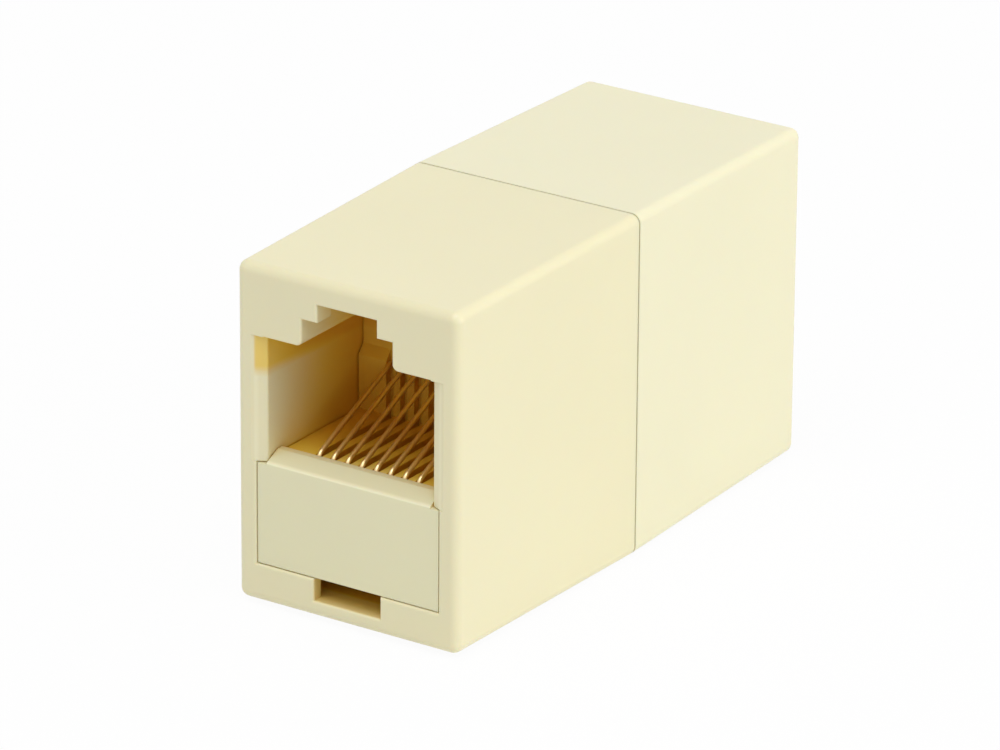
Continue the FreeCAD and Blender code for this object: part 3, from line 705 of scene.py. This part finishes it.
def add_mesh(name, mesh):
    """Put a finished mesh into the scene as an object."""
    data = bpy.data.meshes.new(name)
    mesh.to_mesh(data)
    mesh.free()
    piece = bpy.data.objects.new(name, data)
    bpy.context.scene.collection.objects.link(piece)
    return piece


# ---------------------------------------------------------------- stage

FLOOR_HALF = 3.0            # half the floor's side, in metres
FLOOR_GAP = 0.01 * MM       # between the floor and the coupler's underside
SENSOR_WIDTH = 36.0         # of the camera, in millimetres
NEAREST, FARTHEST = 0.01, 20.0


def add_floor(stage):
    """A wide pale floor that shows nearly white and keeps the coupler's shadow."""
    mesh = bmesh.new()
    bmesh.ops.create_grid(mesh, x_segments=1, y_segments=1, size=FLOOR_HALF)
    floor = add_mesh("floor", mesh)
    floor.location.z = CAD_BOX[0].z - FLOOR_GAP

    surface = new_material("pale_floor")
    mottle = surface.noise(scale=30.0, detail=2.0)
    paint = surface.mix(mottle, opaque(stage.floor), tinted(stage.floor, factor=0.98))
    matt = surface.node("ShaderNodeBsdfDiffuse", None, {"Color": paint})
    plain = surface.node("ShaderNodeEmission", None, {"Color": WHITE, "Strength": 1.0})
    shown = surface.blend(surface.seen_directly() * stage.floor_glow, matt, plain)
    floor.data.materials.append(surface.close("ShaderNodeOutputMaterial", shown))


def set_room(stage):
    """Even light from all round, plain white where it is seen."""
    room = Nodes(bpy.data.worlds.new("studio_room"))
    lit = room.node("ShaderNodeBackground", None, {"Color": WHITE, "Strength": stage.room})
    seen = room.node("ShaderNodeBackground", None, {"Color": WHITE, "Strength": 1.0})
    shown = room.blend(room.seen_directly(), lit, seen)
    bpy.context.scene.world = room.close("ShaderNodeOutputWorld", shown)


def add_softbox(name, stage, towards, power):
    """One large square softbox that faces the coupler."""
    data = bpy.data.lights.new(name, "AREA")
    data.shape = "SQUARE"
    data.size = stage.lamp_size
    data.energy = power
    lamp = bpy.data.objects.new(name, data)
    outwards = Vector(towards).normalized()
    lamp.location = Vector((0.0, 0.0, stage.target_height)) + outwards * stage.lamp_distance
    lamp.rotation_euler = outwards.to_track_quat("Z", "Y").to_euler()
    bpy.context.scene.collection.objects.link(lamp)


def add_camera(stage):
    """A long lens that looks down on the front socket and the right side."""
    level = math.cos(stage.elevation)
    back = Vector((
        math.sin(stage.azimuth) * level,
        -math.cos(stage.azimuth) * level,
        math.sin(stage.elevation),
    ))
    right = Vector((math.cos(stage.azimuth), math.sin(stage.azimuth), 0.0))
    turn = Matrix.Rotation(stage.roll, 3, back)
    up = turn @ back.cross(right)
    right = turn @ right
    target = Vector((0.0, 0.0, stage.target_height))
    aim = target - right * stage.aim_left - up * stage.aim_down

    data = bpy.data.cameras.new("camera")
    data.lens = stage.lens
    data.sensor_width = SENSOR_WIDTH
    data.clip_start = NEAREST
    data.clip_end = FARTHEST
    camera = bpy.data.objects.new("camera", data)
    basis = Matrix((right, up, back)).transposed().to_4x4()
    camera.matrix_world = Matrix.Translation(aim + back * stage.distance) @ basis
    bpy.context.scene.collection.objects.link(camera)
    bpy.context.scene.camera = camera


# ---------------------------------------------------------------- operators

class COUPLER_OT_housings(bpy.types.Operator):
    """Finish the two housing halves in satin ivory plastic"""
    bl_idname = "coupler.housings"
    bl_label = "Housings"

    def execute(self, context):
        plastic = settings().plastic
        for end in ENDS:
            body = getattr(plastic, f"{end}_shell")
            ivory = moulded_plastic(f"{end}_ivory_shell", plastic, body, mouth_rim_highlight)
            dress([f"{end}_housing"], ivory)
        return {"FINISHED"}


class COUPLER_OT_inserts(bpy.types.Operator):
    """Finish the two contact inserts in their slightly greyer plastic"""
    bl_idname = "coupler.inserts"
    bl_label = "Inserts"

    def execute(self, context):
        plastic = settings().plastic
        greyer = moulded_plastic("insert_plastic_finish", plastic, plastic.insert, lip_edge_highlight)
        dress([f"{end}_insert" for end in ENDS], greyer)
        return {"FINISHED"}


class COUPLER_OT_contacts(bpy.types.Operator):
    """Build the sixteen gold-plated spring contacts in round wire"""
    bl_idname = "coupler.contacts"
    bl_label = "Contacts"

    def execute(self, context):
        wire = settings().wire
        gold = plated_wire("gold_plating", wire)
        for end, side in ENDS.items():
            for position in range(1, CONTACT_COUNT + 1):
                node = f"contact_{end}_{position}"
                piece = add_wire_mesh(f"{node}_wire", contact_line(node, side, wire), wire)
                piece.data.materials.append(gold)
                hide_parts(node)
                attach(piece, "root")
        return {"FINISHED"}


class COUPLER_OT_board(bpy.types.Operator):
    """Finish the circuit board, with rings at the levels of its two rows of holes"""
    bl_idname = "coupler.board"
    bl_label = "Circuit board"

    def execute(self, context):
        half = settings().wire.thickness / 2
        levels = [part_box(f"contact_front_{position}")[0].z + half for position in (1, 2)]
        dress(["circuit_board"], masked_board("green_board", settings().board, levels))
        return {"FINISHED"}


class COUPLER_OT_solder(bpy.types.Operator):
    """Finish the solder joints"""
    bl_idname = "coupler.solder"
    bl_label = "Solder"

    def execute(self, context):
        dress(["solder_joints"], bright_solder("bright_solder", settings().board))
        return {"FINISHED"}


class COUPLER_OT_stage(bpy.types.Operator):
    """Set up the floor, the lamps and the camera"""
    bl_idname = "coupler.stage"
    bl_label = "Stage"

    def execute(self, context):
        stage = settings().stage
        add_floor(stage)
        set_room(stage)
        add_softbox("side_softbox", stage, stage.side_direction, stage.side_power)
        add_softbox("top_softbox", stage, stage.top_direction, stage.top_power)
        add_camera(stage)
        context.scene.view_settings.view_transform = "Standard"
        return {"FINISHED"}


# ---------------------------------------------------------------- panel and run

GROUPS = (PlasticSettings, WireSettings, BoardSettings, StageSettings, CouplerSettings)
STEPS = (
    COUPLER_OT_housings, COUPLER_OT_inserts, COUPLER_OT_contacts, COUPLER_OT_board,
    COUPLER_OT_solder, COUPLER_OT_stage,
)


class COUPLER_PT_finish(bpy.types.Panel):
    """Sidebar panel with the coupler's settings and its steps"""
    bl_idname = "COUPLER_PT_finish"
    bl_label = "Inline Coupler Finish"
    bl_space_type = "VIEW_3D"
    bl_region_type = "UI"
    bl_category = "Coupler"

    def draw(self, context):
        for title in CouplerSettings.__annotations__:
            box = self.layout.box()
            box.label(text=title.capitalize())
            group = getattr(settings(), title)
            for name in group.__annotations__:
                box.prop(group, name)
        for step in STEPS:
            self.layout.operator(step.bl_idname)


def register():
    for cls in (*GROUPS, *STEPS, COUPLER_PT_finish):
        bpy.utils.register_class(cls)
    bpy.types.Scene.coupler = bpy.props.PointerProperty(type=CouplerSettings)


def unregister():
    del bpy.types.Scene.coupler
    for cls in reversed((*GROUPS, *STEPS, COUPLER_PT_finish)):
        bpy.utils.unregister_class(cls)


def main():
    register()
    for step in STEPS:
        group, name = step.bl_idname.split(".")
        getattr(getattr(bpy.ops, group), name)()


if __name__ == "__main__":
    main()
